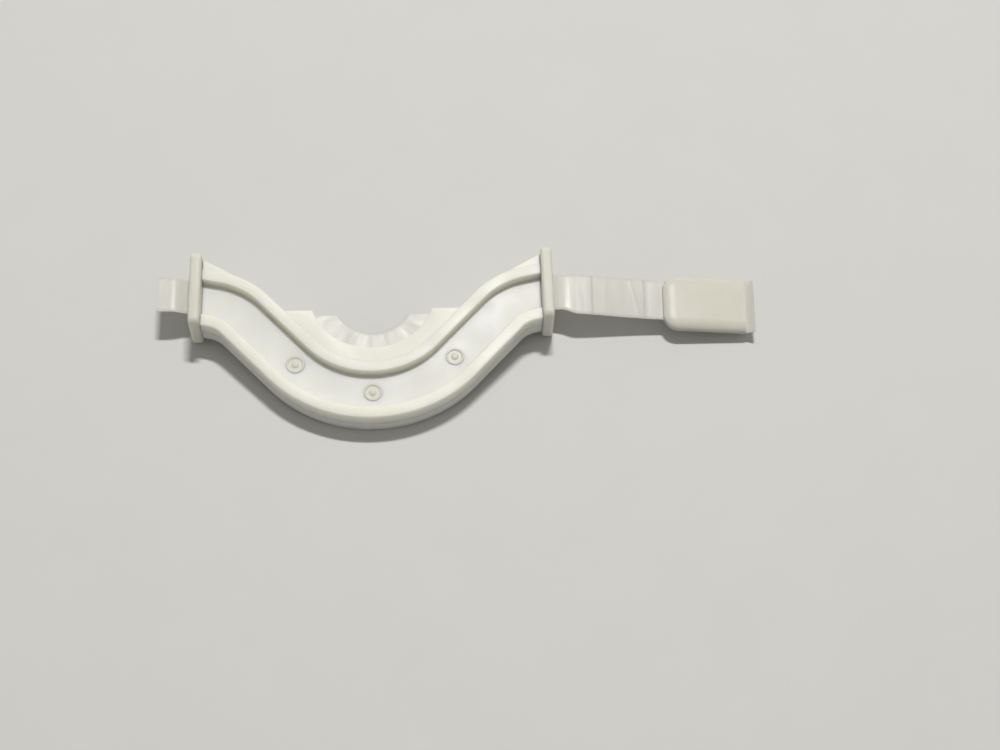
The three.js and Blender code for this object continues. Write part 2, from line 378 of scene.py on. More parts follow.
@dataclass(frozen=True)
class MouldedPolypropylene:
    """Natural polypropylene, injection moulded in a fine spark-eroded tool.

    Light goes a millimetre or two into it, so shaded walls glow a little, and the satin skin gives broad,
    soft highlights.

    Attributes:
        name: The material's name.
        pale: sRGB colour of the skin where it is palest.
        warm: sRGB colour where the wall is a little deeper.
        roughness: Mean roughness of the skin.
        depth: How far red light travels inside, in millimetres.
        grain: Size of the tool's texture, in millimetres.
        grain_height: Height of that texture, in millimetres.
        melt_size: Size of the slow changes of tint, in millimetres.
        sink_size: Size of the sink marks, in millimetres.
        sink_height: Height of the sink marks, in millimetres.
    """

    name: str
    pale: str
    warm: str
    roughness: float = 0.42
    depth: float = 1.8
    grain: float = 0.3
    grain_height: float = 0.004
    melt_size: float = 4.5
    sink_size: float = 2.4
    sink_height: float = 0.05

    def build(self) -> bpy.types.Material:
        """Makes the material."""
        material, tree = empty_material(self.name)
        place = add_node(tree, "ShaderNodeTexCoord").outputs["Object"]
        # Slow changes in the melt, some millimetres across, tint the skin a little.
        melt = add_node(
            tree,
            "ShaderNodeTexNoise",
            {"Vector": place, "Scale": 1 / (self.melt_size * MM), "Detail": 2.0, "Roughness": 0.5},
        )
        tint = add_node(
            tree,
            "ShaderNodeMix",
            {"Factor": melt.outputs["Fac"], "A": linear(self.pale), "B": linear(self.warm)},
            data_type="RGBA",
        )
        # Spark erosion leaves a grain of about 0.03 mm. It is drawn ten times as coarse, so that it shows.
        grain = add_node(
            tree,
            "ShaderNodeTexNoise",
            {"Vector": place, "Scale": 1 / (self.grain * MM), "Detail": 3.0, "Roughness": 0.6},
        )
        sheen_patches = add_node(
            tree,
            "ShaderNodeMapRange",
            {
                "Value": melt.outputs["Fac"],
                "From Min": 0.3,
                "From Max": 0.7,
                "To Min": self.roughness - 0.05,
                "To Max": self.roughness + 0.05,
            },
        )
        # Sink marks over thick ribs are broad and very shallow.
        sinks = add_node(
            tree,
            "ShaderNodeTexNoise",
            {"Vector": place, "Scale": 1 / (self.sink_size * MM), "Detail": 0.0},
        )
        broad = add_node(
            tree,
            "ShaderNodeBump",
            {"Height": sinks.outputs["Fac"], "Strength": 0.5, "Distance": self.sink_height * MM},
        )
        fine = add_node(
            tree,
            "ShaderNodeBump",
            {
                "Height": grain.outputs["Fac"],
                "Normal": broad.outputs["Normal"],
                "Strength": 0.6,
                "Distance": self.grain_height * MM,
            },
        )
        shader = add_node(
            tree,
            "ShaderNodeBsdfPrincipled",
            {
                "Base Color": tint.outputs["Result"],
                "Roughness": sheen_patches.outputs["Result"],
                "Normal": fine.outputs["Normal"],
                "IOR": 1.49,
                "Specular IOR Level": 0.28,
                "Subsurface Weight": 0.85,
                "Subsurface Radius": (1.0, 0.96, 0.62),
                "Subsurface Scale": self.depth * MM,
                "Subsurface Anisotropy": 0.3,
            },
            subsurface_method="RANDOM_WALK",
        )
        add_node(tree, "ShaderNodeOutputMaterial", {"Surface": shader.outputs["BSDF"]})
        return material


@dataclass(frozen=True)
class CastFilm:
    """Polypropylene film, cast on a chilled roll and handled since.

    It is milky and lets part of the light through, with a gloss that breaks up over soft creases across the
    strip. Its colour is darker in the creases' troughs, which is painted shade.

    Attributes:
        name: The material's name.
        pale: sRGB colour of the film.
        shade: sRGB colour of the film in its crease troughs, a painted shade rather than the film's own
            colour.
        roughness: Mean roughness of the skin.
        crease: Spacing of the soft creases, in millimetres.
        crease_height: Height of the creases, in millimetres.
        stretch: Share of the spacing's scale that is left along the creases.
        depth: How far red light travels inside, in millimetres.
    """

    name: str
    pale: str = "E3E2DC"
    shade: str = "DCDAD2"
    roughness: float = 0.42
    crease: float = 1.5
    crease_height: float = 0.015
    stretch: float = 0.16
    depth: float = 0.8

    def build(self) -> bpy.types.Material:
        """Makes the material."""
        material, tree = empty_material(self.name)
        strip = add_node(tree, "ShaderNodeUVMap", uv_map="strip").outputs["UV"]
        # Creases run across the strip, so the pattern is drawn out along its width.
        across = add_node(
            tree,
            "ShaderNodeMapping",
            {
                "Vector": strip,
                "Scale": (1 / self.crease, self.stretch / self.crease, 1.0),
                "Rotation": (0, 0, 0.08),
            },
        )
        creases = add_node(
            tree,
            "ShaderNodeTexNoise",
            {"Vector": across.outputs["Vector"], "Scale": 1.0, "Detail": 3.0, "Roughness": 0.55},
        )
        # The colour darkens in the troughs of the creases: this is painted shade, not a colour of the film.
        tint = add_node(
            tree,
            "ShaderNodeMix",
            {"Factor": creases.outputs["Fac"], "A": linear(self.shade), "B": linear(self.pale)},
            data_type="RGBA",
        )
        haze = add_node(
            tree,
            "ShaderNodeMapRange",
            {
                "Value": creases.outputs["Fac"],
                "From Min": 0.35,
                "From Max": 0.65,
                "To Min": self.roughness + 0.1,
                "To Max": self.roughness - 0.08,
            },
        )
        relief = add_node(
            tree,
            "ShaderNodeBump",
            {"Height": creases.outputs["Fac"], "Strength": 0.8, "Distance": self.crease_height * MM},
        )
        shader = add_node(
            tree,
            "ShaderNodeBsdfPrincipled",
            {
                "Base Color": tint.outputs["Result"],
                "Roughness": haze.outputs["Result"],
                "Normal": relief.outputs["Normal"],
                "IOR": 1.49,
                "Subsurface Weight": 0.7,
                "Subsurface Radius": (1.0, 0.95, 0.8),
                "Subsurface Scale": self.depth * MM,
                "Transmission Weight": 0.25,
            },
            subsurface_method="RANDOM_WALK",
        )
        add_node(tree, "ShaderNodeOutputMaterial", {"Surface": shader.outputs["BSDF"]})
        return material


@dataclass(frozen=True)
class BenchLaminate:
    """A pale matt laminate for the floor, printed with hardly any pattern.

    Attributes:
        name: The material's name.
        pale: sRGB colour of most of it.
        cloud: sRGB colour of its faint clouds.
        cloud_size: Size of the clouds, in millimetres.
    """

    name: str = "bench_laminate"
    pale: str = "D3D3D1"
    cloud: str = "D0CFCC"
    cloud_size: float = 14.0

    def build(self) -> bpy.types.Material:
        """Makes the material."""
        material, tree = empty_material(self.name)
        place = add_node(tree, "ShaderNodeTexCoord").outputs["Object"]
        clouds = add_node(
            tree,
            "ShaderNodeTexNoise",
            {"Vector": place, "Scale": 1 / (self.cloud_size * MM), "Detail": 4.0, "Roughness": 0.6},
        )
        tint = add_node(
            tree,
            "ShaderNodeMix",
            {"Factor": clouds.outputs["Fac"], "A": linear(self.pale), "B": linear(self.cloud)},
            data_type="RGBA",
        )
        shader = add_node(
            tree,
            "ShaderNodeBsdfPrincipled",
            {"Base Color": tint.outputs["Result"], "Roughness": 0.7, "IOR": 1.45},
        )
        add_node(tree, "ShaderNodeOutputMaterial", {"Surface": shader.outputs["BSDF"]})
        return material


@dataclass(frozen=True)
class Finishes:
    """The materials that the pieces share."""

    shell: bpy.types.Material
    stake: bpy.types.Material
    plate: bpy.types.Material
    film: bpy.types.Material
    pad: bpy.types.Material

    @classmethod
    def build(cls) -> "Finishes":
        """Makes them all."""
        return cls(
            shell=MouldedPolypropylene(
                "ivory_moulded_polypropylene", pale="E5E5DE", warm="E2E1D6", roughness=0.4
            ).build(),
            # The same plastic as the shells, with light kept shallow: at the shells' depth such small
            # rings lose their warm colour and turn bluish.
            stake=MouldedPolypropylene(
                "pressed_polypropylene", pale="DADAD1", warm="D6D5CA", roughness=0.4, depth=0.2
            ).build(),
            plate=MouldedPolypropylene(
                "white_moulded_polypropylene", pale="D7D7CF", warm="D4D3C8", roughness=0.46
            ).build(),
            film=CastFilm("milky_cast_polypropylene_film").build(),
            pad=MouldedPolypropylene(
                "overmoulded_polypropylene",
                pale="D8D7CD",
                warm="D4D2C5",
                roughness=0.36,
                grain_height=0.003,
            ).build(),
        )


# ---- the bow ----


@dataclass(frozen=True)
class BowPath:
    """The plan of the bow, in millimetres about the seat axis.

    A line at offset 0 is the channel's far wall, and offsets grow towards -Y.
    """

    valley_radius: float = 14.2
    slope_angle: float = math.radians(47)
    slope_length: float = 11.2
    shoulder_radius: float = 12.5
    end_angle: float = math.radians(12)
    end_x: float = 27.2
    arc_steps: int = 22
    straight_steps: int = 8

    def shoulder(self) -> Vector:
        """Gives the centre of the right shoulder's arc."""
        sine, cosine = math.sin(self.slope_angle), math.cos(self.slope_angle)
        foot = Vector((self.valley_radius * sine, -self.valley_radius * cosine))
        top = foot + Vector((cosine, sine)) * self.slope_length
        return top + Vector((sine, -cosine)) * self.shoulder_radius

    def half_line(self, offset: float) -> list[Vector]:
        """Gives the points of a line from the middle of the valley to the right end.

        Args:
            offset: How far the line is from the channel's far wall.

        Returns:
            Its points, which match in number and order at every offset.
        """
        points = []
        radius = self.valley_radius + offset
        for i in range(self.arc_steps + 1):
            angle = self.slope_angle * i / self.arc_steps
            points.append(Vector((radius * math.sin(angle), -radius * math.cos(angle))))
        radius = self.shoulder_radius - offset
        arc = []
        for i in range(self.arc_steps + 1):
            heading = self.slope_angle + (self.end_angle - self.slope_angle) * i / self.arc_steps
            arc.append(self.shoulder() + Vector((-math.sin(heading), math.cos(heading))) * radius)
        points += self.straight(points[-1], arc[0]) + arc
        run = self.end_x - arc[-1].x
        end = arc[-1] + Vector((run, run * math.tan(self.end_angle)))
        return points + self.straight(arc[-1], end) + [end]

    def straight(self, start: Vector, end: Vector) -> list[Vector]:
        """Gives the points strictly between two ends of a straight stretch."""
        return [start.lerp(end, i / self.straight_steps) for i in range(1, self.straight_steps)]

    def line(self, offset: float) -> list[Vector]:
        """Gives the points of a line from the left end to the right end.

        Args:
            offset: How far the line is from the channel's far wall.

        Returns:
            Its points.
        """
        right = self.half_line(offset)
        left = [Vector((-point.x, point.y)) for point in reversed(right[1:])]
        return left + right

    def end_y(self, offset: float) -> float:
        """Gives where a line meets the right end plate."""
        return self.half_line(offset)[-1].y


@dataclass
class Shell:
    """One of the two channelled shells, with its filled seat and its end gussets.

    Sizes are in millimetres. Heights are measured from the film's middle plane, and each name that
    ends in "edge" is the radius of an edge or an inner corner.
    """

    layout: Layout
    face: Face
    path: BowPath = field(default_factory=BowPath)
    mid_height: float = 4.0
    lip: float = 0.03
    recess: float = 0.17
    web: float = 0.9
    wall: float = 2.4
    seat_top: float = 2.33
    far_wall: float = 2.0
    channel: float = 5.9
    near_wall: float = 2.1
    lip_width: float = 0.5
    draft: float = 0.07
    notch_radius: float = 10.0
    chord_y: float = -3.1
    gusset_start: Point = (20.6, 2.5)
    gusset_bend: Point = (24.2, 5.1)
    gusset_end_y: float = 6.5
    gusset_top: float = 2.28
    far_edge: float = 0.22
    channel_edge: float = 0.2
    floor_edge: float = 0.3
    near_edge: float = 0.24
    foot_edge: float = 0.04
    lip_edge: float = 0.02
    seat_edge: float = 0.12
    gusset_edge: float = 0.25

    def place(self, x: float, y: float, height: float) -> Vector:
        """Puts a point of this shell in the frame, on its own side of the film."""
        return self.layout.place(x, y, self.mid_height + self.face.value * height)

    def section(self) -> list[Point]:
        """Gives the shell's section as offsets across the bow and heights, with its round edges."""
        far, near = -self.far_wall, self.channel + self.near_wall
        return rounded(
            [
                (far, self.lip, self.foot_edge),
                (far + self.draft, self.wall, self.far_edge),
                (-self.draft, self.wall, self.channel_edge),
                (0.0, self.web, self.floor_edge),
                (self.channel, self.web, self.floor_edge),
                (self.channel + self.draft, self.wall, self.channel_edge),
                (near - self.draft, self.wall, self.near_edge),
                (near, self.lip, self.foot_edge),
                (near - self.lip_width, self.lip, self.lip_edge),
                (near - self.lip_width, self.recess, self.lip_edge),
                (far + self.lip_width, self.recess, self.lip_edge),
                (far + self.lip_width, self.lip, self.lip_edge),
            ]
        )

    def bow(self, material: bpy.types.Material) -> bpy.types.Object:
        """Sweeps the section along the bow.

        Args:
            material: The shell's material.

        Returns:
            The swept moulding.
        """
        lines = [(self.path.line(offset), height) for offset, height in self.section()]
        stations = len(lines[0][0])
        rings = [[self.place(*line[i], height) for line, height in lines] for i in range(stations)]
        draft = MeshDraft()
        draft.loft(rings)
        return draft.build(self.name(), material)

    def name(self) -> str:
        """Gives the piece's name."""
        return f"{self.face.name.lower()}_channelled_shell"

    def slab(
        self, outline: Sequence[Point], top: float, edge: float, material: bpy.types.Material
    ) -> bpy.types.Object:
        """Makes a slab on the shell's floor with a round top edge.

        Args:
            outline: Its plan, anticlockwise.
            top: The height of its top.
            edge: The radius of its top edge.
            material: The shell's material.

        Returns:
            The slab.
        """
        inward = inset_directions(outline)
        levels = [(0.0, self.recess), (0.0, top - edge)]
        for step in range(1, 5):
            angle = math.pi / 2 * step / 4
            levels.append((edge * (1 - math.cos(angle)), top - edge + edge * math.sin(angle)))
        rings = []
        for inset, height in levels:
            level = zip(outline, inward)
            rings.append([self.place(x + dx * inset, y + dy * inset, height) for (x, y), (dx, dy) in level])
        draft = MeshDraft()
        draft.loft(rings)
        return draft.build("slab", material)

    def seat_outline(self, radius: float) -> list[Point]:
        """Outlines the filled ground between the bow's far wall and the chord.

        Args:
            radius: The radius of the round bite around the seat axis.

        Returns:
            The outline's points.
        """
        steps = 36
        inner = self.path.valley_radius - self.far_wall / 2
        slope = self.path.slope_angle
        foot = Vector((inner * math.sin(slope), -inner * math.cos(slope)))
        wall_x = foot.x + (self.chord_y - foot.y) / math.tan(slope)
        bite = math.acos(-self.chord_y / radius)
        outline = [(-wall_x, self.chord_y)]
        for i in range(steps + 1):
            angle = slope * (2 * i / steps - 1)
            outline.append((inner * math.sin(angle), -inner * math.cos(angle)))
        outline.append((wall_x, self.chord_y))
        for i in range(steps + 1):
            angle = bite * (1 - 2 * i / steps)
            outline.append((radius * math.sin(angle), -radius * math.cos(angle)))
        return outline

    def gusset_outline(self, side: Side) -> list[Point]:
        """Outlines the web that widens the far wall towards an end plate.

        Args:
            side: The end that it is on.

        Returns:
            The outline's points.
        """
        steps = 8
        start, bend = Vector(self.gusset_start), Vector(self.gusset_bend)
        end = Vector((self.path.end_x, self.gusset_end_y))
        outline = [(self.path.end_x, self.path.end_y(-self.far_wall / 2))]
        for i in range(steps + 1):
            point = end.lerp(bend, i / steps).lerp(bend.lerp(start, i / steps), i / steps)
            outline.append((point.x, point.y))
        points = [(side.value * x, y) for x, y in outline]
        return points if side is Side.RIGHT else points[::-1]

    def build(self, finishes: Finishes) -> bpy.types.Object:
        """Builds the shell and puts it in place of its CAD node.

        Args:
            finishes: The shared materials.

        Returns:
            The finished piece.
        """
        piece = self.bow(finishes.shell)
        seat = self.seat_outline(self.notch_radius)
        parts = [self.slab(seat, self.seat_top, self.seat_edge, finishes.shell)]
        for side in Side:
            gusset = self.gusset_outline(side)
            parts.append(self.slab(gusset, self.gusset_top, self.gusset_edge, finishes.shell))
        unite(piece, parts)
        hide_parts(f"{self.face.name.lower()}_shell")
        return finish_piece(piece, Body.SADDLE, Slot.SHELL)


def inset_directions(outline: Sequence[Point]) -> list[Point]:
    """Gives, for each point of an anticlockwise outline, the move that insets it by one unit.

    Args:
        outline: The outline's points.

    Returns:
        The moves, longer at sharp corners.
    """
    moves = []
    count = len(outline)
    for i in range(count):
        here = Vector(outline[i])
        before = (here - Vector(outline[i - 1])).normalized()
        after = (Vector(outline[(i + 1) % count]) - here).normalized()
        normal_before = Vector((-before.y, before.x))
        normal_after = Vector((-after.y, after.x))
        middle = (normal_before + normal_after).normalized()
        length = 1 / max(0.5, middle.dot(normal_before))
        moves.append((middle.x * length, middle.y * length))
    return moves


def finish_piece(piece: bpy.types.Object, body: Body, slot: Slot) -> bpy.types.Object:
    """Makes a piece ride on its body and logs it.

    Args:
        piece: The finished piece.
        body: The body that it moves with.
        slot: The material slot meant for its finish; not used.

    Returns:
        The same piece.
    """
    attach(piece, body.value)
    log.info("%s: %d faces, on %s", piece.name, len(piece.data.polygons), body.value)
    return piece


@dataclass
class Stake:
    """A stake through both shells, with a ringed head in each channel. Sizes are in millimetres."""

    layout: Layout
    place_name: str
    angle: float
    mid_height: float = 4.0
    circle_radius: float = 17.15
    grip: float = 0.9
    rim_radius: float = 1.5
    groove_radius: float = 1.12
    nub_radius: float = 0.52
    rim_height: float = 0.2
    sides: int = 48
    shaft_radius: float = 0.75

    def half_profile(self) -> list[Point]:
        """Gives radii and heights from the shaft to the middle of one head, a shallow ring around a nub."""
        web = self.grip
        top = web + self.rim_height
        return [
            (self.shaft_radius, web - 0.12),
            (self.rim_radius, web - 0.1),
            (self.rim_radius, web - 0.02),
            (self.rim_radius - 0.03, web + 0.03),
            (self.rim_radius - 0.1, top - 0.02),
            (self.rim_radius - 0.18, top),
            (self.rim_radius - 0.26, top - 0.01),
            (self.groove_radius + 0.04, web + 0.03),
            (self.groove_radius - 0.1, web + 0.01),
            (self.nub_radius + 0.16, web + 0.01),
            (self.nub_radius + 0.04, web + 0.03),
            (self.nub_radius - 0.06, top - 0.06),
            (self.nub_radius - 0.18, top),
            (0.001, top + 0.01),
        ]

    def build(self, finishes: Finishes) -> bpy.types.Object:
        """Builds the stake and puts it in place of its CAD node.

        Args:
            finishes: The shared materials.

        Returns:
            The finished piece.
        """
        x = self.circle_radius * math.sin(self.angle)
        y = -self.circle_radius * math.cos(self.angle)
        half = self.half_profile()
        profile = [(radius, -height) for radius, height in reversed(half)] + half
        rings = []
        for radius, height in profile:
            ring = []
            for i in range(self.sides):
                turn = 2 * math.pi * i / self.sides
                ring.append(
                    self.layout.place(
                        x + radius * math.cos(turn), y + radius * math.sin(turn), self.mid_height + height
                    )
                )
            rings.append(ring)
        draft = MeshDraft()
        draft.loft(rings)
        piece = draft.build(f"{self.place_name}_stake", finishes.stake, 60)
        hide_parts(f"stake_{self.place_name}")
        return finish_piece(piece, Body.SADDLE, Slot.SHELL)


@dataclass
class EndPlate:
    """A flat end plate with soft edges and a slot for the film. Sizes are in millimetres."""

    layout: Layout
    side: Side
    corner: float = 1.1
    edge: float = 0.5
    slot_centre_y: float = 0.55
    slot_width: float = 7.4
    slot_height: float = 1.2
    slot_corner: float = 0.25
    slot_flare: float = 0.12
    slot_flare_start: float = 0.44

    def node(self) -> str:
        """Gives the name of the plate's CAD node."""
        return f"{self.side.name.lower()}_end_plate"

    def build(self, finishes: Finishes) -> bpy.types.Object:
        """Builds the plate and puts it in place of its CAD node.

        Args:
            finishes: The shared materials.

        Returns:
            The finished piece.
        """
        low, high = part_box(self.node())
        centre = (low + high) / 2
        thickness, width, height = (high - low) / MM
        slot_shift = self.slot_centre_y * MM + self.layout.origin.y - centre.y
        rings: list[Ring] = []
        for x, inset in self.edge_steps(thickness):
            outline = rectangle(width - 2 * inset, height - 2 * inset, self.corner - inset * 0.6, 8)
            rings.append([centre + Vector((x, y, z)) * MM for y, z in outline])
        slot = rectangle(self.slot_width, self.slot_height, self.slot_corner, 8)
        mouth = ((0.5, self.slot_flare), (self.slot_flare_start, 0.0))
        for x, grow in (*mouth, *((-share, flare) for share, flare in reversed(mouth))):
            ring = []
            for y, z in slot:
                spread = Vector((x * thickness, y + math.copysign(grow, y), z + math.copysign(grow, z)))
                ring.append(centre + Vector((0, slot_shift, 0)) + spread * MM)
            rings.append(ring)
        draft = MeshDraft()
        rows = draft.loft(rings, capped=False)
        draft.bridge(rows[-1], rows[0])
        piece = draft.build(f"{self.side.name.lower()}_soft_edged_plate", finishes.plate)
        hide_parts(self.node())
        return finish_piece(piece, Body.SADDLE, Slot.PLATE)

    def edge_steps(self, thickness: float) -> list[Point]:
        """Gives places through the plate's thickness and how far its outline is inset there.

        Args:
            thickness: The plate's thickness.

        Returns:
            The places, from the inner side of the slot's mouth around the edge to the other face.
        """
        steps = 7
        flat = thickness / 2 - self.edge
        quarter = [math.pi / 2 * i / steps for i in range(steps + 1)]
        rising = [(-flat - self.edge * math.cos(a), self.edge * (1 - math.sin(a))) for a in quarter]
        return rising + [(-x, inset) for x, inset in reversed(rising)]


# ---- the film ----


@dataclass
class FilmStrip:
    """A stretch of film that follows a height curve along its length. Sizes are in millimetres.

    Attributes:
        root: Where the strip starts, in metres.
        yaw: How far the strip turns in plan.
        direction: 1 when it runs towards +X, and -1 when it runs towards -X.
        height: Height of the film's middle at a distance along it and a place across it.
        edges: Its low and high edges at a distance along it.
        thickness: The film's thickness.
    """

    root: Vector
    yaw: float
    direction: int
    height: Callable[[float, float], float]
    edges: Callable[[float], Point]
    thickness: float = 0.3
    across: int = 22

    def point(self, along: float, across: float, lift: float) -> Vector:
        """Puts a point of the strip in the frame.

        Args:
            along: Distance along the strip.
            across: Place across it.
            lift: Height over the film's middle.

        Returns:
            The point, in metres.
        """
        step = 0.01
        rise = (self.height(along + step, across) - self.height(along - step, across)) / (2 * step)
        normal = Vector((-rise, 0, 1)).normalized() * lift
        local = Vector((along + normal.x, across, self.height(along, across) + normal.z))
        local.x *= self.direction
        return self.root + Matrix.Rotation(self.yaw, 3, "Z") @ local * MM

    def build(
        self, name: str, start: float, end: float, step: float, material: bpy.types.Material
    ) -> bpy.types.Object:
        """Builds the stretch between two distances as a thin slab with round edges.

        Args:
            name: The object's name.
            start: Distance where it starts.
            end: Distance where it ends.
            step: Length of each step along it.
            material: The film's material.

        Returns:
            The piece, not yet riding.
        """
        draft = MeshDraft()
        rings: list[Ring] = []
        half = self.thickness / 2
        count = max(2, round((end - start) / step))
        for i in range(count + 1):
            along = start + (end - start) * i / count
            low, high = self.edges(along)
            ring = []
            for sign in (1, -1):
                for j in range(self.across + 1):
                    share = j / self.across
                    place = low + (high - low) * (share if sign == 1 else 1 - share)
                    thin = 0.35 if j in (0, self.across) else 1.0
                    ring.append(self.point(along, place, sign * half * thin))
                    draft.flat.append((along, place))
            rings.append(ring)
        draft.loft(rings)
        return draft.build(name, material, 60)


@dataclass
class FilmCore:
    """The film between the shells, which shows as a ledge in the notch. Sizes are in millimetres."""

    layout: Layout
    mid_height: float = 4.0
    thickness: float = 0.26
    inner_radius: float = 6.25
    outer_radius: float = 11.5
    chord_y: float = -3.0
    ripple: float = 0.012

    def height(self, x: float, y: float) -> float:
        """Gives the height of the slightly buckled film over its middle plane."""
        depth = min(1.0, max(0.0, (self.outer_radius - math.hypot(x, y) - 1.4) / 3))
        broad = noise.noise(Vector((x / 2.2, y / 2.2, 3.7)))
        fine = noise.noise(Vector((x / 0.9, y / 0.9, 8.1)))
        return self.ripple * depth * (broad + 0.5 * fine)

    def build(self, finishes: Finishes) -> bpy.types.Object:
        """Builds the ledge and puts it in place of the core's CAD node.

        Args:
            finishes: The shared materials.

        Returns:
            The finished piece.
        """
        around, outward = 72, 16
        draft = MeshDraft()
        rings: list[Ring] = []
        for i in range(around + 1):
            ring = []
            for sign in (1, -1):
                for j in range(outward + 1):
                    share = j / outward if sign == 1 else 1 - j / outward
                    radius = self.inner_radius + (self.outer_radius - self.inner_radius) * share
                    widest = math.acos(-self.chord_y / radius)
                    angle = widest * (2 * i / around - 1)
                    x, y = radius * math.sin(angle), -radius * math.cos(angle)
                    thin = 0.3 if j in (0, outward) else 1.0
                    lift = self.height(x, y) + sign * thin * self.thickness / 2
                    ring.append(self.layout.place(x, y, self.mid_height + lift))
                    draft.flat.append((angle * 8.0, radius))
            rings.append(ring)
        draft.loft(rings)
        piece = draft.build("notch_film_ledge", finishes.film, 60)
        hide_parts("film_core")
        return finish_piece(piece, Body.SADDLE, Slot.FILM)


@dataclass
class Tail:
    """The short tail of film at the left plate. Sizes are in millimetres."""

    layout: Layout
    plate_face: float = 29.05
    mid_height: float = 4.0
    centre_y: float = 0.92
    width: float = 6.1
    inside: float = 1.5
    length: float = 5.2
    rise: float = 1.0
    rise_end: float = 3.2
    bend_end: float = 2.2
    ripple: float = 0.02
    film_step: float = 0.2

    def height(self, along: float, across: float) -> float:
        """Gives the height of the tail's film over its slot."""
        curl = self.rise * smoothstep(along / self.rise_end)
        wave = noise.noise(Vector((along / 1.6, across / 4.0, 1.3)))
        return curl + self.ripple * wave * smoothstep(along)

    def edges(self, along: float) -> Point:
        """Gives the tail's two edges."""
        return (-self.width / 2, self.width / 2)

    def build(self, finishes: Finishes) -> bpy.types.Object:
        """Builds the tail.

        Args:
            finishes: The shared materials.

        Returns:
            The finished piece.
        """
        root = self.layout.place(-self.plate_face, self.centre_y, self.mid_height)
        strip = FilmStrip(root, 0.0, -1, self.height, self.edges)
        piece = strip.build("film_tail", -self.inside, self.length, self.film_step, finishes.film)
        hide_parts("tail_film")
        strip.point(0.0, 0, 0)
        strip.point(self.bend_end, 0, 0)
        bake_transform(piece)
        log.info("%s bends from the saddle to the tail", piece.name)
        return piece


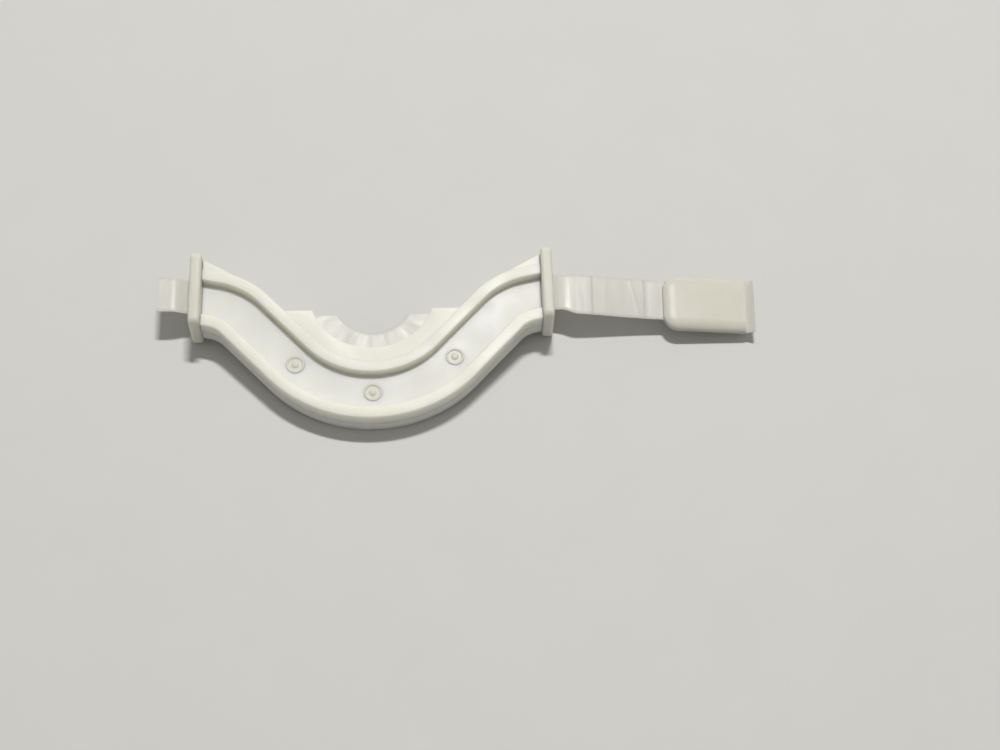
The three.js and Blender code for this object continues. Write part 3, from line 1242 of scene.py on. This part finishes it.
@dataclass
class Strap:
    """The film strap at the right plate and its pull tab. Sizes are in millimetres along the strap."""

    layout: Layout
    plate_face: float = 29.05
    mid_height: float = 4.0
    yaw: float = math.radians(-2.2)
    root_y: float = 0.05
    width: float = 7.1
    neck_cut: float = 0.8
    neck_length: float = 1.2
    flare_end: float = 4.3
    inside: float = 1.5
    root_fold: float = 0.2
    middle_fold: float = 12.6
    tab_fold: float = 17.4
    end: float = 33.0
    droop: tuple[Point, ...] = ((0.0, 0.0), (4.0, 1.3), (8.0, -0.4), (17.4, -1.15))
    tab_slope: float = math.tan(math.radians(-4.3))
    lip_rise: float = 0.75
    pad_start: float = 18.0
    pad_length: float = 13.6
    pad_width: float = 9.5
    pad_centre_y: float = -0.54
    pad_corner: float = 2.5
    pad_edge: float = 2.1
    pad_upper: float = 1.1
    pad_lower: float = 0.9
    pad_flank: float = 0.16
    end_share: float = 0.12
    film_margin: float = 0.06
    film_step: float = 0.16
    root_bend: Point = (0.0, 2.4)
    middle_bend: Point = (11.9, 13.9)
    tab_bend: Point = (16.6, 18.2)
    creases: tuple[tuple[float, float, float, float], ...] = (
        # along, slant, height, width
        (2.4, 0.10, 0.008, 0.6),
        (5.0, -0.05, -0.01, 0.7),
        (8.6, 0.08, 0.015, 0.5),
        (13.4, -0.22, 0.03, 0.25),
        (15.6, 0.06, -0.015, 0.4),
    )

    def wave(self, along: float) -> float:
        """Gives the height of the strap's soft wave before the tab."""
        low, high = 0.0, 1.0
        for _ in range(24):
            middle = (low + high) / 2
            if self.bezier(middle)[0] < along:
                low = middle
            else:
                high = middle
        return self.bezier(low)[1]

    def bezier(self, share: float) -> Point:
        """Gives the wave's point at a share of its cubic curve."""
        rest = 1 - share
        weights = (rest**3, 3 * rest * rest * share, 3 * rest * share * share, share**3)
        x = sum(w * p[0] for w, p in zip(weights, self.droop))
        y = sum(w * p[1] for w, p in zip(weights, self.droop))
        return (x, y)

    def height(self, along: float, across: float) -> float:
        """Gives the height of the strap's film over its slot.

        Args:
            along: Distance along the strap.
            across: Place across it.

        Returns:
            The height, with creases and the curl of the last edge.
        """
        if along < 0:
            return 0.0
        if along < self.tab_fold:
            level = self.wave(along)
        else:
            lip_start = self.pad_start + self.pad_length
            lip = max(0.0, (along - lip_start) / (self.end - lip_start))
            level = self.droop[-1][1] + self.tab_slope * (along - self.tab_fold) + self.lip_rise * lip**1.5
        for centre, slant, rise, width in self.creases:
            level += rise * math.exp(-(((along - centre - slant * across) / width) ** 2))
        return level

    def edges(self, along: float) -> Point:
        """Gives the strap's two edges: cut back at the root, and widened to the pad."""
        half = self.width / 2
        root = smoothstep((along - self.neck_length) / (self.flare_end - self.neck_length))
        low = -half + self.neck_cut * (1 - root)
        if along <= self.pad_start:
            return (low, half)
        into_corner = min(self.pad_corner, along - self.pad_start)
        fall = self.pad_corner - math.sqrt(self.pad_corner**2 - (self.pad_corner - into_corner) ** 2)
        pad_half = self.pad_width / 2 - self.film_margin - fall
        return (min(low, self.pad_centre_y - pad_half), max(half, self.pad_centre_y + pad_half))

    def strip(self) -> FilmStrip:
        """Gives the strap's whole strip."""
        root = self.layout.place(self.plate_face, self.root_y, self.mid_height)
        return FilmStrip(root, self.yaw, 1, self.height, self.edges)

    def film(self, finishes: Finishes) -> None:
        """Builds the film in three stretches, one for each fold.

        Args:
            finishes: The shared materials.
        """
        strip = self.strip()
        first_cut = (self.root_fold + self.middle_fold) / 2
        second_cut = (self.middle_fold + self.tab_fold) / 2
        stretches = (
            ("root", -self.inside, first_cut, Body.SADDLE, Body.STRAP_INNER, self.root_bend),
            ("middle", first_cut, second_cut, Body.STRAP_INNER, Body.STRAP_OUTER, self.middle_bend),
            ("tab", second_cut, self.end, Body.STRAP_OUTER, Body.PULL_TAB, self.tab_bend),
        )
        nodes = {"root": "strap_root_span", "middle": "strap_end_span", "tab": "tab_film"}
        for place, start, end, before, after, bend in stretches:
            piece = strip.build(f"strap_film_{place}", start, end, self.film_step, finishes.film)
            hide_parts(nodes[place])
            strip.point(bend[0], 0, 0)
            strip.point(bend[1], 0, 0)
            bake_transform(piece)
            log.info("%s bends from %s to %s", piece.name, before.value, after.value)

    def pad(self, face: Face, finishes: Finishes) -> bpy.types.Object:
        """Builds one half of the pull tab's pad, soft-edged and a little crowned.

        Args:
            face: The face that the half is on.
            finishes: The shared materials.

        Returns:
            The finished piece.
        """
        depth = self.pad_upper if face is Face.UPPER else self.pad_lower
        levels = [(0.0, 0.01), (0.0, self.pad_flank)]
        for step in range(1, 13):
            angle = math.pi / 2 * step / 12
            rise = (depth - self.pad_flank) * math.sin(angle) ** 0.85
            levels.append((self.pad_edge * (1 - math.cos(angle)), self.pad_flank + rise))
        rings = [
            [self.pad_point(x, y, height * face.value) for x, y in self.pad_outline(inset)]
            for inset, height in levels
        ]
        draft = MeshDraft()
        draft.loft(rings)
        piece = draft.build(f"pull_tab_{face.name.lower()}_pad", finishes.pad)
        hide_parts(f"tab_{face.name.lower()}_pad")
        return finish_piece(piece, Body.PULL_TAB, Slot.PAD)

    def pad_outline(self, inset: float) -> list[Point]:
        """Outlines the pad at one level: round corners at its start, nearly square ones at its end.

        Args:
            inset: How far the level is set in from the pad's sides. The end is set in only a little.

        Returns:
            The outline's points about the pad's middle.
        """
        start_x = -self.pad_length / 2 + inset
        end_x = self.pad_length / 2 - inset * self.end_share
        y = self.pad_width / 2 - inset
        start, end = max(0.4, self.pad_corner - inset), 0.2
        return rounded([(end_x, -y, end), (end_x, y, end), (start_x, y, start), (start_x, -y, start)], 10)

    def pad_point(self, x: float, y: float, height: float) -> Vector:
        """Puts a point of the pad in the frame.

        Args:
            x: Distance along the pad from its middle.
            y: Place across it from its middle.
            height: Height over the film's middle.

        Returns:
            The point, in metres.
        """
        middle = self.pad_start + self.pad_length / 2
        root = self.strip().root
        base = Vector((middle, self.pad_centre_y, self.height(middle, 0))) * MM
        tilt = Matrix.Rotation(-math.atan(self.tab_slope), 3, "Y")
        return root + Matrix.Rotation(self.yaw, 3, "Z") @ (base + tilt @ (Vector((x, y, height)) * MM))

    def build(self, finishes: Finishes) -> None:
        """Builds the strap's film and both halves of its pad.

        Args:
            finishes: The shared materials.
        """
        self.film(finishes)
        for face in Face:
            self.pad(face, finishes)


# ---- the studio ----


@dataclass
class Studio:
    """A pale floor, a long soft lamp behind the clip and the camera over it."""

    layout: Layout
    floor_size: float = 3.0
    foot_y: float = -5.6
    lean: float = math.atan(0.0965)
    camera_place: tuple[float, float, float] = (8.5, -138.66, 260.2)
    pitch: float = math.radians(26.02)
    roll: float = math.radians(3.58)
    yaw: float = math.radians(-5.31)
    lens: float = 64.8
    lamp_direction: tuple[float, float, float] = (0.1, 0.474, 1.0)
    lamp_distance: float = 1.0
    lamp_length: float = 0.2
    lamp_width: float = 0.06
    lamp_power: float = 7.2
    sky: str = "F4F3F0"
    sky_strength: float = 0.34

    def build(self) -> None:
        """Builds the floor, the lights and the camera."""
        self.floor()
        self.lights()
        self.camera()
        bpy.context.scene.view_settings.view_transform = "Standard"

    def floor(self) -> None:
        """Lays the floor where the clip rests: on the plates' near feet and on the bottom of the bow."""
        half = self.floor_size / 2
        mesh = bpy.data.meshes.new("pale_floor")
        corners = [(-half, -half, 0), (half, -half, 0), (half, half, 0), (-half, half, 0)]
        mesh.from_pydata(corners, [], [(0, 1, 2, 3)])
        mesh.materials.append(BenchLaminate().build())
        floor = bpy.data.objects.new("pale_floor", mesh)
        floor.rotation_euler.x = -self.lean
        floor.location = self.layout.place(0, self.foot_y, -0.03)
        bpy.context.scene.collection.objects.link(floor)
        floor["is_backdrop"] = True

    def lights(self) -> None:
        """Hangs the lamp and sets the room's faint light."""
        data = bpy.data.lights.new("long_lamp", "AREA")
        data.shape = "RECTANGLE"
        data.size = self.lamp_length
        data.size_y = self.lamp_width
        data.energy = self.lamp_power
        data.color = linear(LAMP_COLOUR)[:3]
        lamp = bpy.data.objects.new("long_lamp", data)
        direction = Vector(self.lamp_direction).normalized()
        lamp.location = self.layout.origin + direction * self.lamp_distance
        lamp.rotation_mode = "QUATERNION"
        lamp.rotation_quaternion = direction.to_track_quat("Z", "Y")
        bpy.context.scene.collection.objects.link(lamp)
        world = bpy.data.worlds.new("room")
        bpy.context.scene.world = world
        world.use_nodes = True
        background = world.node_tree.nodes["Background"]
        background.inputs["Color"].default_value = linear(self.sky)
        background.inputs["Strength"].default_value = self.sky_strength

    def camera(self) -> None:
        """Sets the camera over the clip, tipped and turned by its angles."""
        data = bpy.data.cameras.new("camera")
        data.lens = self.lens
        data.sensor_width = 36.0
        data.clip_start = 0.01
        camera = bpy.data.objects.new("camera", data)
        turn = (
            Matrix.Rotation(self.yaw, 4, "Z")
            @ Matrix.Rotation(self.pitch, 4, "X")
            @ Matrix.Rotation(self.roll, 4, "Z")
        )
        camera.matrix_world = Matrix.Translation(self.layout.place(*self.camera_place)) @ turn
        bpy.context.scene.collection.objects.link(camera)
        bpy.context.scene.camera = camera


def write_sizes() -> None:
    """Gathers the CAD model's box and the visual model's box in a dictionary, which is not kept."""
    boxes = {"cad": CAD_BOX, "visual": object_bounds()}
    {name: [list(corner) for corner in box] for name, box in boxes.items()}


def main() -> None:
    """Builds every piece around the frame, then the studio."""
    logging.basicConfig(level=logging.INFO, format="%(message)s")
    layout = Layout.from_frame()
    Studio(layout).build()
    finishes = Finishes.build()
    for face in Face:
        Shell(layout, face).build(finishes)
    for side in Side:
        EndPlate(layout, side).build(finishes)
    for place_name, degrees in (("left", -45.3), ("centre", 0.0), ("right", 49.3)):
        Stake(layout, place_name, math.radians(degrees)).build(finishes)
    FilmCore(layout).build(finishes)
    Tail(layout).build(finishes)
    Strap(layout).build(finishes)
    write_sizes()


if __name__ == "__main__":
    main()
